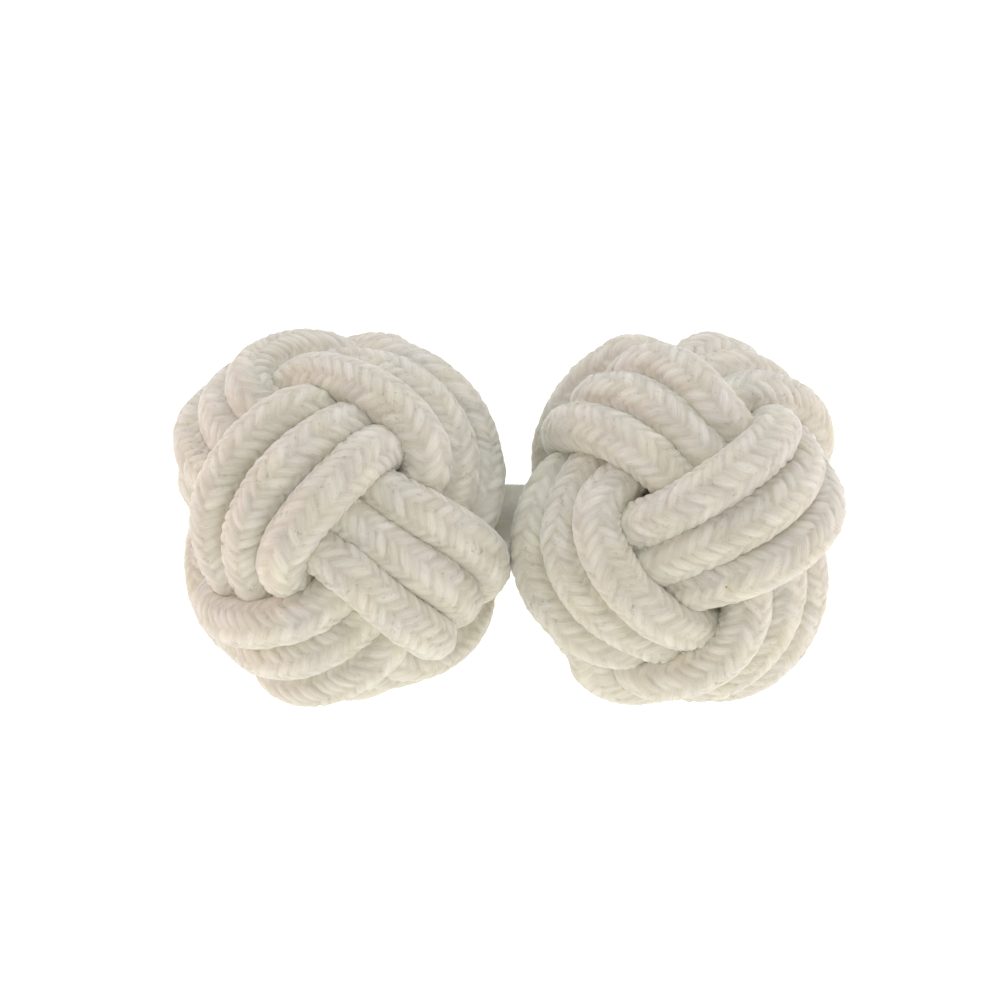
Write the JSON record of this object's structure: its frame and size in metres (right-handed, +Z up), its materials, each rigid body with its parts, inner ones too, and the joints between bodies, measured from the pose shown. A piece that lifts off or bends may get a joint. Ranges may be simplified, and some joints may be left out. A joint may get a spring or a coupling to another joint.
{
  "type": "silk knot cuff button",
  "caption": "Silk knot cuff button: ball knots of braided cream cord at each end of a short elastic loop, worn through the buttonholes of a shirt cuff.",
  "frame": {"origin": "on the surface that the pair lies on, under the centre of its bounding box", "axes": "+X along the cuff button from the left knot to the right knot, -Y towards the viewer of the picture, +Z up"},
  "size_m": [0.023, 0.0128, 0.0133],
  "materials": {
    "silk_cord": "soft satin braid",
    "elastic": "matte covered elastic"
  },
  "bodies": {
    "root": {"left_knot": "silk_cord", "right_knot": "silk_cord", "elastic_link": "elastic"}
  },
  "joints": []
}
